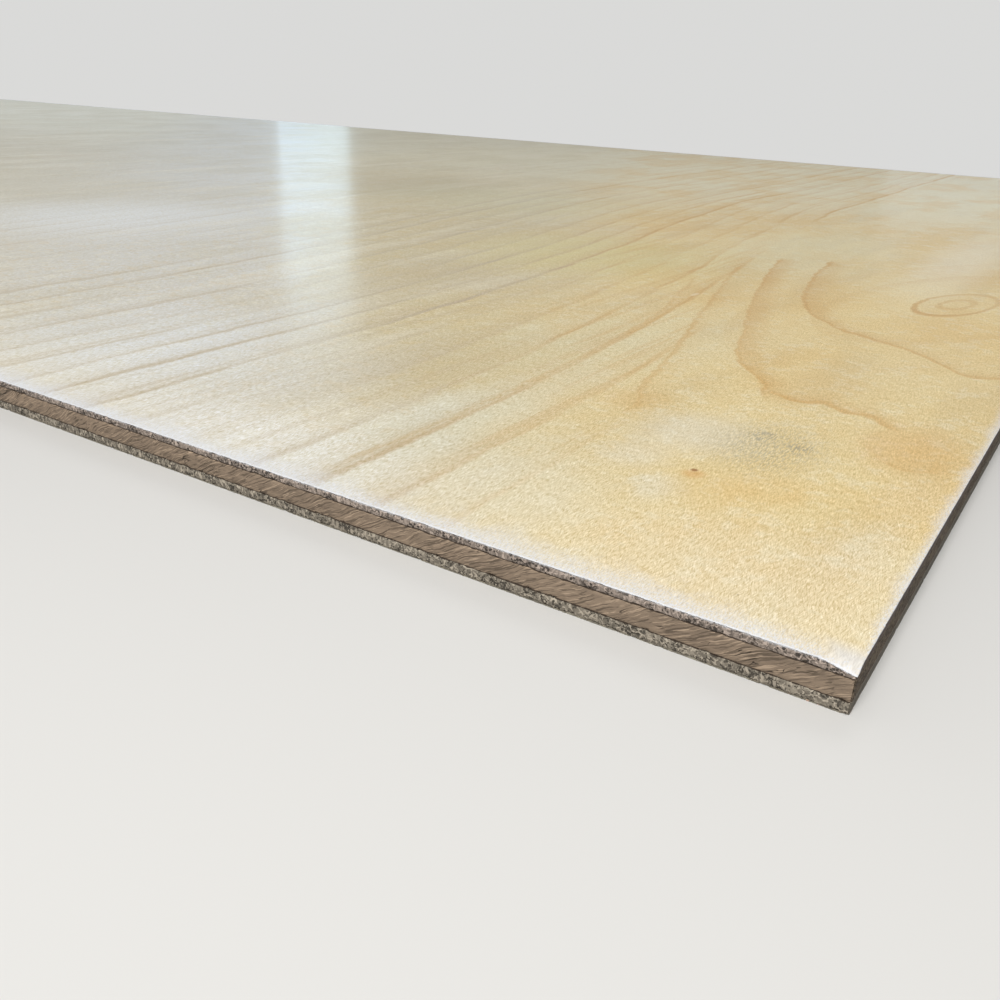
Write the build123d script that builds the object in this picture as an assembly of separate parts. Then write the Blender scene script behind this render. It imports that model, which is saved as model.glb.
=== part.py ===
from build123d import *
import os

# A plywood sheet lying flat, good face up, in millimetres.
# The origin is the middle of the back face. +X runs along the long sides,
# +Y along the short sides, and +Z points up out of the good face.

# Size of the trimmed sheet
sheet_length = 2440.0
sheet_width = 1220.0

# Thickness of each layer, from the back up
back_veneer_thickness = 0.3
lower_ply_thickness = 2.4
core_ply_thickness = 4.8
upper_ply_thickness = 1.7
face_veneer_thickness = 0.3

# The layers as they are glued up, from the back to the face.
# Fibres run along Y in the veneers and the two outer plies, and along X in the core.
layup = [
    ("back_veneer", back_veneer_thickness),
    ("lower_ply", lower_ply_thickness),
    ("core_ply", core_ply_thickness),
    ("upper_ply", upper_ply_thickness),
    ("face_veneer", face_veneer_thickness),
]


def make_ply(underside, thickness):
    """One flat layer, sawn square on all four sides, lying on the height of its underside."""
    seat = Plane.XY.offset(underside)
    outline = seat * Rectangle(sheet_length, sheet_width)
    return extrude(outline, amount=thickness, dir=(0, 0, 1))


def make_sheet():
    """Every layer by name, each lying face to face on the one below it."""
    plies = {}
    underside = 0.0
    for name, thickness in layup:
        plies[name] = make_ply(underside, thickness)
        underside += thickness
    return plies


os.makedirs("parts", exist_ok=True)
for node, shape in make_sheet().items():
    export_step(shape, f"parts/{node}.step")
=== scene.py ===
import math

import bmesh
import bpy
from mathutils import Matrix, Vector, noise


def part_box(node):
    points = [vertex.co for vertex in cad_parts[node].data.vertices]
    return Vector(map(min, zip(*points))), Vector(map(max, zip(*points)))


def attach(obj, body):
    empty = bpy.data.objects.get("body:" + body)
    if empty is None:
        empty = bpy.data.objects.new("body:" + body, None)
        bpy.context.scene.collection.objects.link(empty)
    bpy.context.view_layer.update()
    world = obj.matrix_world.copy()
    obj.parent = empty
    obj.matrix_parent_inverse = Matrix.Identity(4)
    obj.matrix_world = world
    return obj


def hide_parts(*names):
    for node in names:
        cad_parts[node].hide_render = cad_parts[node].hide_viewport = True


bl_info = {
    "name": "Plywood Sheet",
    "version": (1, 0, 0),
    "blender": (4, 5, 0),
    "location": "3D View > Sidebar > Plywood",
    "description": "Dresses a plywood sheet with veneers, plies, worn edges and a plain studio",
    "category": "Add Mesh",
}

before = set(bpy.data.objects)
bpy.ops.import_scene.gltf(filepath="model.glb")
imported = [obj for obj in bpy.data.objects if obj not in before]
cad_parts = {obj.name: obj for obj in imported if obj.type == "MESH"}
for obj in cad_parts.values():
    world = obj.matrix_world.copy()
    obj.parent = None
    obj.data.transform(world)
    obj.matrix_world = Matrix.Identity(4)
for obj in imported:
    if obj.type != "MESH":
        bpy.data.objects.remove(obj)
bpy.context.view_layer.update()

MM = 0.001

# Places in millimetres that lie nearer than this count as one
SAME = 0.001

HALF_LENGTH = 1000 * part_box("face_veneer")[1].x
HALF_WIDTH = 1000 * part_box("face_veneer")[1].y


# Sizes and colours that a maker would change

class SheetSettings(bpy.types.PropertyGroup):
    """Wear and relief of the sawn sides, all in millimetres"""
    fine_column: bpy.props.FloatProperty(
        name="Fine spacing", description="Spacing of the relief round the near corner, in mm",
        default=0.36, min=0.2, max=2.0)
    coarse_column: bpy.props.FloatProperty(
        name="Coarse spacing", description="Spacing of the relief on the rest of the sides, in mm",
        default=3.2, min=1.0, max=20.0)
    fine_front: bpy.props.FloatProperty(
        name="Fine part of the front", default=330.0, min=10.0, max=2000.0,
        description="Length of finely cut long side from the near corner, in mm")
    fine_right: bpy.props.FloatProperty(
        name="Fine part of the right", default=220.0, min=10.0, max=1000.0,
        description="Length of finely cut short side from the near corner, in mm")
    arris_radius: bpy.props.FloatProperty(
        name="Arris radius", description="Radius worn on the edge of the face, in mm",
        default=0.24, min=0.0, max=2.0)
    corner_drop: bpy.props.FloatProperty(
        name="Corner drop", description="How far the face is knocked down at the near corner, in mm",
        default=1.25, min=0.0, max=1.6)
    joint_depth: bpy.props.FloatProperty(
        name="Joint depth", description="Depth of the groove along each glue line, in mm",
        default=0.16, min=0.0, max=1.0)
    roughness_end: bpy.props.FloatProperty(
        name="End grain relief", description="Depth of the relief that the saw leaves in end grain, in mm",
        default=0.13, min=0.0, max=0.5)
    roughness_long: bpy.props.FloatProperty(
        name="Long grain relief", description="Depth of the relief that the saw leaves in long grain, in mm",
        default=0.07, min=0.0, max=0.5)


class ColourSettings(bpy.types.PropertyGroup):
    """Colours of the woods, as linear red, green and blue"""
    face_pale: bpy.props.FloatVectorProperty(
        name="Face, pale", description="Pale wood of the face", subtype="COLOR",
        default=(0.68, 0.585, 0.375))
    face_warm: bpy.props.FloatVectorProperty(
        name="Face, warm", description="Warm wood of the face", subtype="COLOR",
        default=(0.81, 0.63, 0.285))
    face_line: bpy.props.FloatVectorProperty(
        name="Face, growth line", description="Growth lines of the face", subtype="COLOR",
        default=(0.63, 0.39, 0.12))
    worn_edge: bpy.props.FloatVectorProperty(
        name="Worn edge", description="Colour of the face's whitened arris", subtype="COLOR",
        default=(0.80, 0.81, 0.84))
    back_wood: bpy.props.FloatVectorProperty(
        name="Back", description="Wood of the back veneer", subtype="COLOR",
        default=(0.60, 0.49, 0.33))
    upper_wood: bpy.props.FloatVectorProperty(
        name="Upper ply", description="Wood of the ply over the core", subtype="COLOR",
        default=(0.285, 0.235, 0.20))
    core_wood: bpy.props.FloatVectorProperty(
        name="Core ply", description="Wood of the core", subtype="COLOR",
        default=(0.285, 0.215, 0.155))
    lower_wood: bpy.props.FloatVectorProperty(
        name="Lower ply", description="Wood of the ply under the core", subtype="COLOR",
        default=(0.257, 0.226, 0.182))
    glue: bpy.props.FloatVectorProperty(
        name="Glue line", description="Colour of the glue between the layers", subtype="COLOR",
        default=(0.045, 0.03, 0.02))


# Building node trees

# Nodes in a row of the editor, and the spacing of columns and rows
ROW_LENGTH = 12
COLUMN_STEP = 200
ROW_STEP = 320


class Tree:
    """Adds nodes to one node tree, in rows from left to right, and links them."""

    def __init__(self, tree):
        self.tree = tree
        self.count = 0

    def put(self, kind, inputs=None, **settings):
        node = self.tree.nodes.new(kind)
        row, column = divmod(self.count, ROW_LENGTH)
        node.location = (column * COLUMN_STEP, -row * ROW_STEP)
        self.count += 1
        for name, value in settings.items():
            setattr(node, name, value)
        for key, value in (inputs or {}).items():
            self.feed(node.inputs[key], value)
        return node

    def feed(self, socket, value):
        if isinstance(value, bpy.types.NodeSocket):
            self.tree.links.new(value, socket)
        elif socket.type == "RGBA" and len(value) == 3:
            socket.default_value = (*value, 1.0)
        else:
            socket.default_value = value

    def math(self, operation, first, *others):
        """One math node for each further value, in a row."""
        for other in others or (0.0,):
            first = self.put("ShaderNodeMath", {0: first, 1: other}, operation=operation).outputs[0]
        return first

    def add(self, *values):
        return self.math("ADD", *values)

    def times(self, *values):
        return self.math("MULTIPLY", *values)

    def highest(self, *values):
        return self.math("MAXIMUM", *values)

    def less(self, first, second):
        return self.math("SUBTRACT", first, second)

    def over(self, first, second):
        return self.math("DIVIDE", first, second)

    def rise(self, value, low, high, start=0.0, end=1.0):
        """Goes smoothly from start to end while value goes from low to high."""
        inputs = {0: value, 1: low, 2: high, 3: start, 4: end}
        return self.put("ShaderNodeMapRange", inputs, interpolation_type="SMOOTHSTEP").outputs[0]

    def fall(self, value, low, high):
        return self.rise(value, low, high, 1.0, 0.0)

    def rise_straight(self, value, low, high):
        return self.put("ShaderNodeMapRange", {0: value, 1: low, 2: high}).outputs[0]

    def mix(self, share, first, second, blend="MIX"):
        inputs = {0: share, 6: first, 7: second}
        return self.put("ShaderNodeMix", inputs, data_type="RGBA", blend_type=blend).outputs[2]

    def layers(self, colour, coats, blend="MIX"):
        """The colour under several coats, each a share and a tint."""
        for share, tint in coats:
            colour = self.mix(share, colour, tint, blend)
        return colour

    def vector(self, x=0.0, y=0.0, z=0.0):
        return self.put("ShaderNodeCombineXYZ", {0: x, 1: y, 2: z}).outputs[0]

    def axes(self, vector):
        return self.put("ShaderNodeSeparateXYZ", {0: vector}).outputs

    def vector_math(self, operation, *values):
        node = self.put("ShaderNodeVectorMath", dict(enumerate(values)), operation=operation)
        return node.outputs["Value" if operation in ("LENGTH", "DISTANCE") else "Vector"]

    def scaled(self, vector, by):
        return self.vector_math("MULTIPLY", vector, by)

    def noise_node(self, vector, scale, detail, roughness, flat):
        """Soft noise. Flat noise reads x and y alone, which is quicker on the face."""
        inputs = {"Vector": vector, "Scale": scale, "Detail": detail, "Roughness": roughness}
        return self.put("ShaderNodeTexNoise", inputs, noise_dimensions="2D" if flat else "3D")

    def noise(self, vector, scale=1.0, detail=2.0, roughness=0.5, flat=False):
        return self.noise_node(vector, scale, detail, roughness, flat).outputs[0]

    def drawn(self, vector, scales, detail=2.0, roughness=0.5, flat=False):
        """Noise with a scale of its own along x, y and z."""
        return self.noise(self.scaled(vector, scales), 1.0, detail, roughness, flat)

    def bent(self, vector, scale, amount, flat=False):
        """The vector, moved by slow noise of the given scale, at most about half of amount each way."""
        drift = self.noise_node(vector, scale, 1.0, 0.5, flat).outputs[1]
        centred = self.vector_math("SUBTRACT", drift, (0.5, 0.5, 0.5))
        return self.vector_math("MULTIPLY_ADD", centred, (amount, amount, amount), vector)

    def turned(self, vector, angle, axis):
        inputs = {"Vector": vector, "Angle": angle}
        return self.put("ShaderNodeVectorRotate", inputs, rotation_type=axis + "_AXIS").outputs[0]

    def band(self, value, middle, full, none):
        """1 where value is within full of the middle, falling to 0 at none away from it."""
        away = self.math("ABSOLUTE", self.less(value, middle))
        return self.fall(away, full, none)

    def cells(self, vector, scale=1.0, feature="F1"):
        inputs = {"Vector": vector, "Scale": scale}
        return self.put("ShaderNodeTexVoronoi", inputs, feature=feature).outputs[0]

    def white(self, value):
        """One random number for each whole value."""
        return self.put("ShaderNodeTexWhiteNoise", {"W": value}, noise_dimensions="1D").outputs[0]

    def group(self, tree, inputs):
        node = self.put("ShaderNodeGroup", node_tree=tree)
        for name, value in inputs.items():
            self.feed(node.inputs[name], value)
        return node.outputs


def new_group(name, inputs, outputs):
    """A shader node group with named sockets: its Tree, its inputs and its output node."""
    group = bpy.data.node_groups.new(name, "ShaderNodeTree")
    for label, default in inputs.items():
        kind = "NodeSocketVector" if default is None else "NodeSocketFloat"
        socket = group.interface.new_socket(label, in_out="INPUT", socket_type=kind)
        if default is not None:
            socket.default_value = default
    for label in outputs:
        group.interface.new_socket(label, in_out="OUTPUT", socket_type="NodeSocketFloat")
    tree = Tree(group)
    return tree, tree.put("NodeGroupInput").outputs, tree.put("NodeGroupOutput").inputs


def put_out(tree, out, **values):
    """Feeds a group's outputs by name and gives its node tree."""
    for name, value in values.items():
        tree.feed(out[name], value)
    return tree.tree


# Shared effects, one node group each. Vectors are in millimetres, x along the side or across the
# fibres, y along the fibres or into the wood, z up from the back of the sheet.

def fleck_group():
    """Short fibre flecks that lie along y."""
    tree, given, out = new_group(
        "Fibre flecks", {"Vector": None, "Length": 4.0, "Width": 0.5, "Low": 0.5, "High": 0.7}, ["Mask"])
    by = tree.vector(tree.over(1.0, given["Width"]), tree.over(1.0, given["Length"]), 1.0)
    fine = tree.drawn(given["Vector"], by, 1.5, flat=True)
    return put_out(tree, out, Mask=tree.rise(fine, given["Low"], given["High"]))


def edge_group():
    """How near a point of the face is to the sheet's sides: a bright line at the arris, and a haze past it
    that is partly wear and partly painted sheen.
    """
    tree, given, out = new_group("Edge wear and sheen", {"Vector": None, "Band": 9.0, "Line": 0.9}, ["Line", "Haze"])
    place = given["Vector"]
    x, y, _ = tree.axes(place)
    from_long = tree.less(HALF_WIDTH, tree.math("ABSOLUTE", y))
    from_short = tree.less(HALF_LENGTH, tree.math("ABSOLUTE", x))
    inset = tree.math("MINIMUM", from_long, tree.times(from_short, 3.4))
    mottle = tree.less(tree.noise(place, 1.5, 2.0, 0.7, flat=True), 0.5)
    broad = tree.noise(place, 0.08, 2.0, 0.6, flat=True)
    from_corner = tree.highest(from_long, from_short)
    wider = tree.rise(from_corner, 8.0, 36.0, 0.64, 1.0)
    band = tree.times(given["Band"], wider, tree.rise(broad, 0.35, 0.65, 0.8, 1.3))
    uneven = tree.over(tree.add(inset, tree.times(mottle, 7.0)), band)
    haze = tree.math("POWER", tree.fall(uneven, -0.2, 1.0), 1.5)
    grain = tree.drawn(place, (2.6, 1.3, 1.0), 2.0, 0.7, flat=True)
    haze = tree.times(haze, tree.rise(grain, 0.40, 0.60, 0.45, 1.0))
    tree.feed(out["Haze"], tree.highest(haze, tree.rise(from_corner, 3.0, 10.0, 0.60, 0.0)))
    line = tree.over(tree.add(inset, tree.times(mottle, 1.6)), given["Line"])
    return put_out(tree, out, Line=tree.fall(line, 0.3, 1.0))


def end_grain_group():
    """Cut ends of fibres: pores, a pale net or comb of ticks, lathe checks and a broad tone."""
    tree, given, out = new_group(
        "End grain", {"Vector": None, "Pore": 0.8, "Net": 0.8, "Tick": 0.6, "Check": 2.2, "Lean": 0.3},
        ["Pores", "Ticks", "Checks", "Tone", "Height"])
    place = tree.bent(given["Vector"], 0.9, 0.7)
    cell = tree.cells(place, tree.over(1.0, given["Pore"]))
    clusters = tree.noise(given["Vector"], 0.28, 3.0, 0.6)
    reach = tree.rise(clusters, 0.38, 0.62, 0.10, 0.52)
    pores = tree.fall(cell, tree.times(reach, 0.7), reach)
    mesh_edge = tree.cells(place, tree.over(1.0, given["Net"]), "DISTANCE_TO_EDGE")
    net = tree.fall(mesh_edge, 0.07, 0.16)
    broken = tree.rise(tree.noise(place, 1.1, 2.0), 0.40, 0.56)
    leaning = tree.turned(place, given["Lean"], "Y")
    upright = tree.vector(tree.over(1.0, given["Tick"]), 1.0, 0.5)
    comb = tree.rise(tree.drawn(leaning, upright, 1.5, 0.6), 0.50, 0.60)
    combed = tree.rise(tree.noise(given["Vector"], 0.035, 2.0), 0.44, 0.56)
    ticks = tree.highest(tree.times(net, broken, tree.rise(combed, 0.0, 1.0, 1.0, 0.25)),
                         tree.times(comb, tree.rise(combed, 0.0, 1.0, 0.35, 1.0)))
    tall = tree.vector(tree.over(1.0, given["Check"]), 1.0, 0.6)
    ridge = tree.math("ABSOLUTE", tree.less(tree.drawn(leaning, tall, 2.0, 0.6), 0.5))
    open_here = tree.rise(tree.noise(given["Vector"], 0.3, 2.0), 0.40, 0.55)
    checks = tree.times(tree.fall(ridge, 0.010, 0.045), open_here)
    tone = tree.drawn(given["Vector"], (0.16, 1.0, 0.6), 4.0, 0.65)
    height = tree.less(tree.times(ticks, 0.5), tree.highest(pores, checks))
    return put_out(tree, out, Pores=pores, Ticks=ticks, Checks=checks, Tone=tone, Height=height)


def long_grain_group():
    """Fibres seen along their length: pale and dark streaks, long cracks and a broad tone."""
    tree, given, out = new_group(
        "Long grain", {"Vector": None, "Slant": 0.6, "Length": 4.0, "Width": 0.35, "Cracks": 0.5},
        ["Pale", "Dark", "Cracks", "Tone", "Height"])
    place = tree.bent(tree.bent(given["Vector"], 0.11, 2.2), 0.45, 0.5)
    turned = tree.turned(place, given["Slant"], "Y")
    along = tree.over(1.0, given["Length"])
    across = tree.over(1.0, given["Width"])
    streaks = tree.scaled(turned, tree.vector(along, 1.0, across))
    pale = tree.rise(tree.noise(streaks, 1.0, 2.0, 0.6), 0.54, 0.64)
    dark = tree.rise(tree.drawn(streaks, (0.8, 1.3, 0.85), 2.0, 0.6), 0.53, 0.61)
    wide = tree.vector(tree.times(along, 0.40), 1.0, 0.95)
    ridge = tree.math("ABSOLUTE", tree.less(tree.drawn(turned, wide, 1.0), 0.5))
    few = tree.rise(tree.drawn(place, (0.05, 1.0, 0.25), 1.0), 0.52, 0.64)
    cracks = tree.times(tree.fall(ridge, 0.006, 0.020), few, given["Cracks"])
    tone = tree.drawn(place, (0.08, 1.0, 0.4), 4.0, 0.65)
    height = tree.less(tree.times(pale, 0.6), tree.add(tree.times(dark, 0.6), cracks))
    return put_out(tree, out, Pale=pale, Dark=dark, Cracks=cracks, Tone=tone, Height=height)


def glue_group():
    """A thin dark glue line at one height, with beads, gaps and small voids beside it."""
    tree, given, out = new_group("Glue line", {"Vector": None, "Level": 0.0, "Thickness": 0.2}, ["Line"])
    z = tree.axes(tree.bent(given["Vector"], 0.25, 0.35))[2]
    beads = tree.drawn(given["Vector"], (0.9, 1.0, 0.5))
    offset = tree.math("ABSOLUTE", tree.less(z, given["Level"]))
    reach = tree.times(given["Thickness"], tree.rise(beads, 0.3, 0.72, 0.45, 1.6))
    line = tree.fall(offset, tree.times(reach, 0.45), reach)
    voids = tree.fall(tree.cells(given["Vector"], 0.5), 0.12, 0.26)
    near = tree.fall(offset, 0.3, 0.75)
    some = tree.rise(tree.noise(given["Vector"], 0.11, 1.0), 0.45, 0.55)
    return put_out(tree, out, Line=tree.highest(line, tree.times(voids, near, some)))


def saw_group():
    """Faint upright marks of the saw's teeth."""
    tree, given, out = new_group("Saw marks", {"Vector": None, "Pitch": 1.4}, ["Height"])
    by = tree.vector(tree.over(1.0, given["Pitch"]), 1.0, 0.04)
    return put_out(tree, out, Height=tree.drawn(given["Vector"], by))


# Materials

def new_material(name):
    """A material with one principled shader, its Tree, and the sheet's place in millimetres."""
    material = bpy.data.materials.new(name)
    material.use_nodes = True
    material.node_tree.nodes.clear()
    tree = Tree(material.node_tree)
    output = tree.put("ShaderNodeOutputMaterial")
    shader = tree.put("ShaderNodeBsdfPrincipled")
    tree.feed(output.inputs["Surface"], shader.outputs[0])
    here = tree.put("ShaderNodeTexCoord").outputs["Object"]
    return material, tree, shader, here


def in_millimetres(tree, here):
    return tree.put("ShaderNodeMapping", {"Vector": here, "Scale": (1000.0, 1000.0, 1000.0)}).outputs[0]


# Scale of a pattern from a sawn side into the wood, far below the 1000 that it has along the side
INTO_WOOD = 60.0


def along_side(tree, here, side):
    """x along the side, y into the wood and z up. Depth is drawn out, so relief doesn't smear a pattern."""
    if side == "long":
        scale, turn = (1000.0, INTO_WOOD, 1000.0), 0.0
    else:
        scale, turn = (INTO_WOOD, 1000.0, 1000.0), -math.pi / 2
    inputs = {"Vector": here, "Scale": scale, "Rotation": (0.0, 0.0, turn)}
    return tree.put("ShaderNodeMapping", inputs).outputs[0]


def set_bump(tree, shader, height, depth):
    """Feeds a height from 0 to 1 through a Bump node whose full depth is given in millimetres."""
    bump = tree.put("ShaderNodeBump", {"Height": height, "Strength": 1.0, "Distance": depth * MM})
    tree.feed(shader.inputs["Normal"], bump.outputs[0])


def shade(colour, factor):
    return tuple(channel * factor for channel in colour)


def glued(tree, groups, place, colour, wood, glue_levels, side):
    """A side's colour under its glue lines, dark on long sides and pale on short ones, and their mask."""
    lines = tree.highest(*(
        tree.group(groups["glue"], {"Vector": place, "Level": level, "Thickness": thickness})["Line"]
        for level, thickness in glue_levels))
    tint = tuple(bpy.context.scene.plywood_colours.glue) if side == "long" else shade(wood, 1.7)
    return tree.mix(tree.times(lines, 0.92), colour, tint), lines


def sawn(tree, shader, groups, place, height, saw_share, depth):
    """Bump of a sawn side: the height of its grain with the marks of the saw."""
    saw = tree.group(groups["saw"], {"Vector": place})["Height"]
    set_bump(tree, shader, tree.add(height, tree.times(saw, saw_share)), depth)


def end_grain_material(name, groups, wood, glue_levels, side, style):
    """End grain of one ply on one pair of sides."""
    material, tree, shader, here = new_material(name)
    place = along_side(tree, here, side)
    grain = tree.group(groups["end"], {"Vector": place, **style["grain"]})
    tone = tree.mix(tree.rise(grain["Tone"], 0.3, 0.7), shade(wood, 0.62), shade(wood, 1.12))
    colour = tree.layers(tone, (
        (tree.times(grain["Ticks"], style["pale"]), shade(wood, 2.2)),
        (tree.times(grain["Pores"], style["dots"]), shade(wood, 0.26)),
        (tree.times(grain["Checks"], style["cracks"]), shade(wood, 0.16))))
    colour, lines = glued(tree, groups, place, colour, wood, glue_levels, side)
    if "white_above" in style:
        ragged = tree.less(tree.drawn(place, (1.6, 1.0, 0.9)), 0.5)
        level = tree.add(tree.axes(place)[2], ragged)
        white = tree.rise(level, style["white_above"] - 0.35, style["white_above"] + 0.3, 0.0, 0.45)
        colour = tree.mix(white, colour, tuple(bpy.context.scene.plywood_colours.worn_edge))
    tree.feed(shader.inputs["Base Color"], colour)
    tree.feed(shader.inputs["Roughness"], tree.rise(grain["Tone"], 0.2, 0.8, 0.78, 0.95))
    sawn(tree, shader, groups, place, tree.less(grain["Height"], lines), 0.35, 0.16)
    shader.inputs["Specular IOR Level"].default_value = 0.25
    return material


def long_grain_material(name, groups, wood, glue_levels, side, style):
    """Long grain of one ply on one pair of sides."""
    material, tree, shader, here = new_material(name)
    place = along_side(tree, here, side)
    grain = tree.group(groups["long"], {"Vector": place, **style["grain"]})
    tone = tree.mix(tree.rise(grain["Tone"], 0.3, 0.7), shade(wood, 0.80), shade(wood, 1.15))
    colour = tree.layers(tone, (
        (tree.times(grain["Pale"], style["pale"]), shade(wood, 1.7)),
        (tree.times(grain["Dark"], style["dark"]), shade(wood, 0.42)),
        (grain["Cracks"], shade(wood, 0.12))))
    colour, lines = glued(tree, groups, place, colour, wood, glue_levels, side)
    tree.feed(shader.inputs["Base Color"], colour)
    tree.feed(shader.inputs["Roughness"], tree.rise(grain["Tone"], 0.2, 0.8, 0.72, 0.92))
    sawn(tree, shader, groups, place, tree.less(grain["Height"], lines), 0.30, 0.04)
    shader.inputs["Specular IOR Level"].default_value = 0.3
    return material


# Growth lines of the face that stand out. Each run is a smooth curve through listed points in
# millimetres: (y, x) for a run along y, the way of the fibres, and (x, y) for a run along x.
# A soft tail of darker wood lies on the side of growing x or y, and tail gives its share.
GROWTH_LINES = [
    {"along": "y", "width": 2.0, "share": 0.88, "tail": 0.75, "from": -462, "to": -205, "points": [
        (-480, 1156), (-460, 1150), (-452, 1146), (-441, 1138), (-432, 1131), (-420, 1125), (-403, 1120),
        (-379, 1113), (-348, 1103), (-311, 1093), (-275, 1084), (-231, 1074), (-150, 1058)]},
    {"along": "x", "width": 4.0, "share": 1.0, "tail": 0.60, "from": 1152, "to": 1193, "points": [
        (1120, -452), (1150, -460), (1157, -464), (1164, -464.5), (1170, -461.5), (1177, -465.5),
        (1186, -466), (1192, -472), (1220, -486)]},
    {"along": "y", "width": 2.2, "share": 0.90, "tail": 0.55, "from": -352, "to": -190, "points": [
        (-380, 1160), (-356, 1146), (-346, 1137), (-334, 1127), (-313, 1117), (-287, 1109.5), (-248, 1101),
        (-220, 1097), (-150, 1090)]},
    {"along": "x", "width": 3.0, "share": 0.95, "tail": 0.42, "from": 1144, "to": 1290, "points": [
        (1120, -332), (1137, -347), (1146, -355.5), (1156, -360), (1167, -366), (1178, -373), (1190, -384),
        (1201, -395), (1211, -392), (1225, -388)]},
    {"along": "y", "width": 1.9, "share": 0.62, "tail": 0.32, "from": -505, "to": -240, "points": [
        (-600, 1130), (-502, 1123), (-482, 1116), (-448, 1109), (-419, 1102), (-380, 1091.5), (-332, 1079.5),
        (-270, 1064), (-150, 1040)]},
    {"along": "y", "width": 1.7, "share": 0.50, "tail": 0.28, "from": -590, "to": -300, "points": [
        (-640, 1086), (-500, 1085), (-430, 1080), (-370, 1072), (-330, 1062), (-270, 1048), (-150, 1020)]},
    {"along": "x", "width": 2.4, "share": 0.45, "tail": 0.60, "from": 1192, "to": 1212, "points": [
        (1180, -486), (1192, -494), (1199, -503), (1205, -506), (1211, -503), (1220, -498)]},
    {"along": "y", "width": 2.2, "share": 0.24, "tail": 0.40, "from": -500, "to": -466, "points": [
        (-540, 1199), (-500, 1195), (-486, 1191), (-472, 1192), (-450, 1196)]},
]

# The part of the face that the curves cover along each axis
LINE_SPANS = {"y": (-660.0, -100.0), "x": (1040.0, 1240.0)}

# How far the ends of a line fade, and how far its tail reaches
LINE_FADE = {"y": 14.0, "x": 6.0}
TAIL_REACH = 15.0

# Place in the list of the line that has rings to its left and ovals to its right
OVALS_FROM_LINE = 4

# The small oval eye of the figure: centre, half sizes and turn in radians
EYE = {"x": 1175.0, "y": -262.0, "half_x": 14.0, "half_y": 35.0, "turn": 0.22}

# Spacing of the growth rings, how far they fan out towards the far side, and how far the fibres
# wander slowly and quickly, in millimetres
RING_PITCH = 20.0
RING_FAN = 62.0
SLOW_WANDER = 22.0
QUICK_WANDER = 6.0
BACK_RING_PITCH = 14.0
BACK_WANDER = 260.0

# Soft patches of the face: centre, half sizes, share and colour. Most are stains of the wood.
# The bluish-white ones at (680, -375), (965, -552) and (1055, -593) are painted sheen, and the dull
# dark ones at (683, -64), (950, -395) and (1048, -512), which lie in one diagonal band, are a painted
# dark reflection.
FACE_PATCHES = [
    (1203, -487, 12, 19, 0.50, (0.70, 0.43, 0.14)),
    (1180, -540, 12, 10, 0.17, (0.73, 0.46, 0.14)),
    (1160, -441, 18, 17, 0.30, (0.70, 0.47, 0.17)),
    (1118, -300, 32, 60, 0.30, (0.71, 0.51, 0.21)),
    (1190, -340, 30, 50, 0.24, (0.74, 0.53, 0.22)),
    (1121, -497, 10, 10, 0.35, (0.70, 0.46, 0.17)),
    (1150, -513, 16, 15, 0.40, (0.72, 0.70, 0.60)),
    (1142, -541, 9, 9, 0.30, (0.74, 0.72, 0.64)),
    (1156, -558, 6, 8, 0.35, (0.76, 0.75, 0.66)),
    (680, -375, 75, 75, 0.70, (0.84, 0.86, 0.86)),
    (530, -310, 110, 75, 0.40, (0.62, 0.55, 0.38)),
    (683, -64, 60, 90, 0.44, (0.50, 0.44, 0.27)),
    (950, -395, 24, 65, 0.38, (0.55, 0.47, 0.31)),
    (1154, -120, 18, 120, 0.44, (0.86, 0.82, 0.68)),
    (980, -262, 66, 64, 0.60, (0.70, 0.62, 0.27)),
    (965, -552, 58, 44, 0.48, (0.79, 0.83, 0.85)),
    (1048, -512, 30, 46, 0.34, (0.50, 0.42, 0.26)),
    (1092, -552, 17, 46, 0.38, (0.75, 0.79, 0.69)),
    (1126, -572, 16, 24, 0.26, (0.78, 0.79, 0.68)),
    (1066, -160, 45, 90, 0.30, (0.76, 0.79, 0.58)),
    (1150, -290, 18, 75, 0.26, (0.98, 0.84, 0.44)),
    (815, -90, 100, 80, 0.22, (0.70, 0.74, 0.48)),
    (1080, -425, 32, 56, 0.32, (0.73, 0.75, 0.57)),
    (1055, -593, 45, 14, 0.38, (0.84, 0.86, 0.86)),
    (1190, -580, 28, 22, 0.12, (0.84, 0.80, 0.70)),
    (1211, -527, 8, 18, 0.14, (0.84, 0.78, 0.62)),
    (1210, -561, 9, 15, 0.26, (0.84, 0.80, 0.66)),
]


def growth_line(tree, x, y, across, line):
    """A mask round one run of a named growth line: crisp on one side, with a soft tail on the other."""
    along = y if line["along"] == "y" else x
    start, end = LINE_SPANS[line["along"]]
    left, right = LINE_SPANS["x" if line["along"] == "y" else "y"]
    node = tree.put("ShaderNodeFloatCurve", {"Value": tree.rise_straight(along, start, end)})
    curve = node.mapping.curves[0]
    places = [((first - start) / (end - start), (second - left) / (right - left))
              for first, second in line["points"]]
    curve.points[0].location = places[0]
    curve.points[1].location = places[-1]
    for place in places[1:-1]:
        curve.points.new(*place)
    node.mapping.update()
    middle = tree.add(tree.times(node.outputs[0], right - left), left)
    offset = tree.less(across, middle)
    before = tree.rise(offset, -0.6 * line["width"], 0.3)
    crisp = tree.rise(offset, 0.4, 1.9 * line["width"], line["share"], 0.0)
    tail = tree.rise(offset, 0.0, TAIL_REACH, line["share"] * line["tail"], 0.0)
    fade = LINE_FADE[line["along"]]
    starts = tree.rise(along, line["from"] - fade, line["from"] + fade * 0.3)
    stops = tree.fall(along, line["to"] - fade * 0.3, line["to"] + fade)
    return tree.times(before, tree.highest(crisp, tail), starts, stops), middle


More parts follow.
